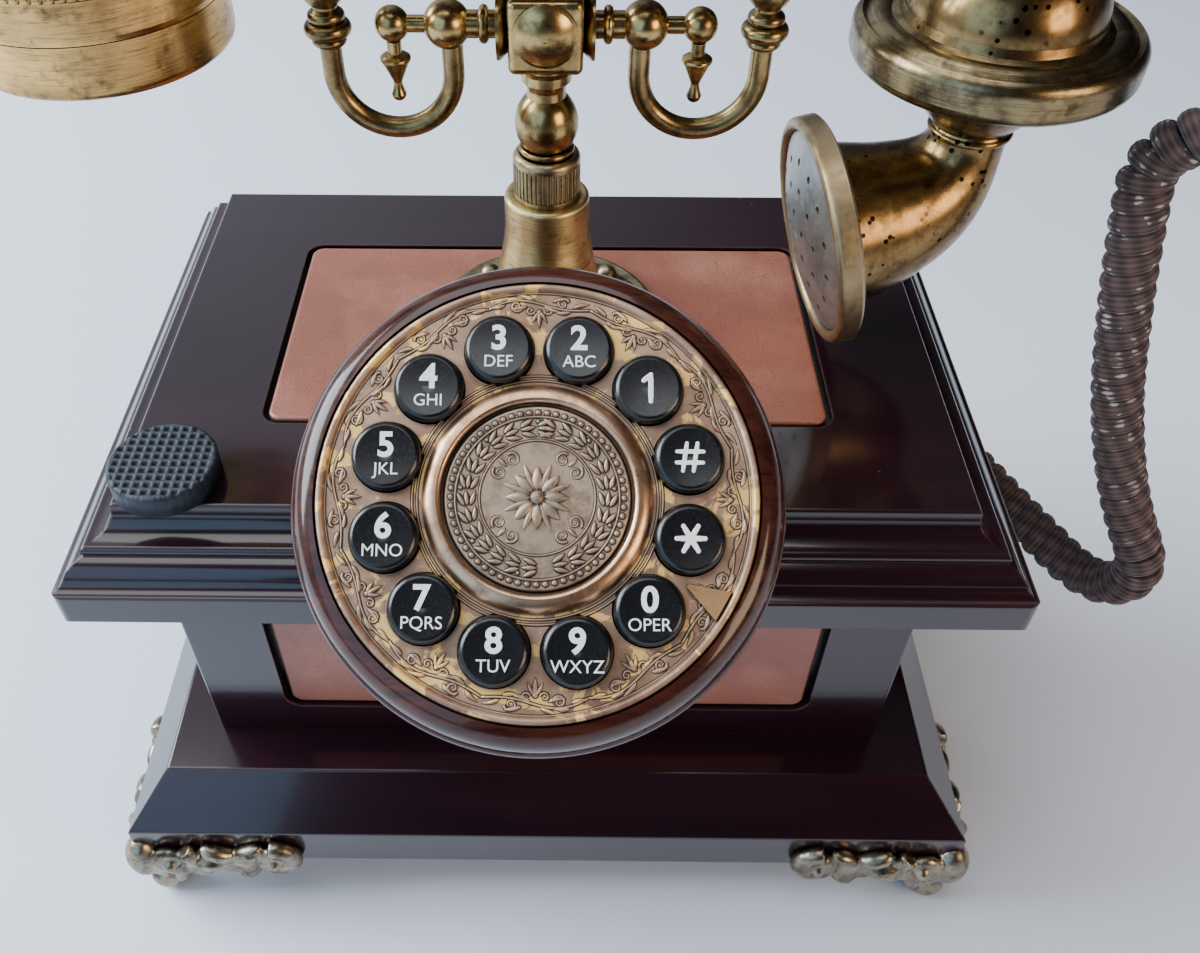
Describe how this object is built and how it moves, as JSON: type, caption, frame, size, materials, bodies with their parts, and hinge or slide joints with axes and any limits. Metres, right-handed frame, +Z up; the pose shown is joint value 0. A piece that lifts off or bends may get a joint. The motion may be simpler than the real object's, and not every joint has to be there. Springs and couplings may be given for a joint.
{
  "type": "desk telephone",
  "caption": "Antique-style desk telephone: footed leather-trimmed wooden box, sloping keypad dial, brass stem with forked cradle, handset with horn mouthpiece, curly cord.",
  "frame": {"origin": "bottom centre of the telephone's box without its cord, on the surface it stands on", "axes": "+Z up, -Y the side with the dial, +X towards the horn mouthpiece's end of the handset"},
  "size_m": [0.2667, 0.1956, 0.248],
  "materials": {
    "lacquered_wood": "dark red-brown lacquer",
    "turned_wood": "polished mahogany",
    "leather": "soft sheen",
    "brass": "aged, lacquered",
    "dark_brass": "aged, dark patina",
    "silvered": "worn silver plate",
    "copper": "polished copper tone",
    "key_plastic": "semi-gloss black with white legends",
    "rubber": "matte",
    "cord_textile": "braided",
    "steel": "zinc plated",
    "circuit": "solder mask",
    "black_plastic": "moulded"
  },
  "bodies": {
    "base": {"plinth": "lacquered_wood", "body_box": "lacquered_wood", "lid": "lacquered_wood", "leather_panel_top": "leather", "leather_panel_front": "leather", "bottom_cover": "steel", "cover_screws": "steel", "corner_feet": "dark_brass", "ballast_plate": "steel", "circuit_board": "circuit", "ringer": "black_plastic", "line_jack": "black_plastic", "cord_gland": "black_plastic", "stem_rosette": "dark_brass", "stem_sleeve": "brass", "stem_collar": "brass", "stem_nut": "steel", "hook_switch": "black_plastic", "dial_housing": "turned_wood", "dial_bracket": "lacquered_wood", "dial_plate": "brass", "dial_centre_ring": "copper", "dial_medallion": "dark_brass", "dial_finger_stop": "brass", "keypad_board": "circuit", "keypad_mat": "rubber", "keypad_screws": "steel", "handset_cord": "cord_textile"},
    "cradle": {"cradle_post": "brass", "cradle_block": "brass", "cradle_bosses": "brass", "cradle_arms": "brass", "cradle_finials": "brass", "cradle_hook_left": "dark_brass", "cradle_hook_right": "dark_brass"},
    "handset": {"handle_grip": "turned_wood", "handle_ends": "brass", "handle_tie": "steel", "receiver_cup": "brass", "receiver_cap": "dark_brass", "capsules": "black_plastic", "transmitter_dome": "brass", "transmitter_flange": "dark_brass", "transmitter_neck": "brass", "transmitter_horn": "brass", "mouthpiece_cap": "silvered", "handset_strain_relief": "black_plastic"},
    "pad": {"loose_rubber_pad": "rubber"},
    "key_2": {"key_2": "key_plastic"},
    "key_3": {"key_3": "key_plastic"},
    "key_4": {"key_4": "key_plastic"},
    "key_5": {"key_5": "key_plastic"},
    "key_6": {"key_6": "key_plastic"},
    "key_7": {"key_7": "key_plastic"},
    "key_8": {"key_8": "key_plastic"},
    "key_9": {"key_9": "key_plastic"},
    "key_0": {"key_0": "key_plastic"},
    "key_star": {"key_star": "key_plastic"},
    "key_hash": {"key_hash": "key_plastic"},
    "key_1": {"key_1": "key_plastic"}
  },
  "joints": [
    {"name": "cradle_plunge", "type": "slide", "parent": "base", "child": "cradle", "axis": [0, 0, 1], "range_m": [0, 0.003], "stiffness_N_per_m": 200, "springref_m": 0.016},
    {"name": "handset_lift", "type": "slide", "parent": "cradle", "child": "handset", "axis": [0, 0, 1], "range_m": [0, 0.02]},
    {"name": "pad_lift", "type": "slide", "parent": "base", "child": "pad", "axis": [0, 0, 1], "range_m": [0, 0.03]},
    {"name": "key_2_press", "type": "slide", "parent": "base", "child": "key_2", "axis": [0, 0.5693, -0.8221], "range_m": [0, 0.0012], "stiffness_N_per_m": 1500, "springref_m": -0.0002},
    {"name": "key_3_press", "type": "slide", "parent": "base", "child": "key_3", "axis": [0, 0.5693, -0.8221], "range_m": [0, 0.0012], "stiffness_N_per_m": 1500, "springref_m": -0.0002},
    {"name": "key_4_press", "type": "slide", "parent": "base", "child": "key_4", "axis": [0, 0.5693, -0.8221], "range_m": [0, 0.0012], "stiffness_N_per_m": 1500, "springref_m": -0.0002},
    {"name": "key_5_press", "type": "slide", "parent": "base", "child": "key_5", "axis": [0, 0.5693, -0.8221], "range_m": [0, 0.0012], "stiffness_N_per_m": 1500, "springref_m": -0.0002},
    {"name": "key_6_press", "type": "slide", "parent": "base", "child": "key_6", "axis": [0, 0.5693, -0.8221], "range_m": [0, 0.0012], "stiffness_N_per_m": 1500, "springref_m": -0.0002},
    {"name": "key_7_press", "type": "slide", "parent": "base", "child": "key_7", "axis": [0, 0.5693, -0.8221], "range_m": [0, 0.0012], "stiffness_N_per_m": 1500, "springref_m": -0.0002},
    {"name": "key_8_press", "type": "slide", "parent": "base", "child": "key_8", "axis": [0, 0.5693, -0.8221], "range_m": [0, 0.0012], "stiffness_N_per_m": 1500, "springref_m": -0.0002},
    {"name": "key_9_press", "type": "slide", "parent": "base", "child": "key_9", "axis": [0, 0.5693, -0.8221], "range_m": [0, 0.0012], "stiffness_N_per_m": 1500, "springref_m": -0.0002},
    {"name": "key_0_press", "type": "slide", "parent": "base", "child": "key_0", "axis": [0, 0.5693, -0.8221], "range_m": [0, 0.0012], "stiffness_N_per_m": 1500, "springref_m": -0.0002},
    {"name": "key_star_press", "type": "slide", "parent": "base", "child": "key_star", "axis": [0, 0.5693, -0.8221], "range_m": [0, 0.0012], "stiffness_N_per_m": 1500, "springref_m": -0.0002},
    {"name": "key_hash_press", "type": "slide", "parent": "base", "child": "key_hash", "axis": [0, 0.5693, -0.8221], "range_m": [0, 0.0012], "stiffness_N_per_m": 1500, "springref_m": -0.0002},
    {"name": "key_1_press", "type": "slide", "parent": "base", "child": "key_1", "axis": [0, 0.5693, -0.8221], "range_m": [0, 0.0012], "stiffness_N_per_m": 1500, "springref_m": -0.0002}
  ]
}
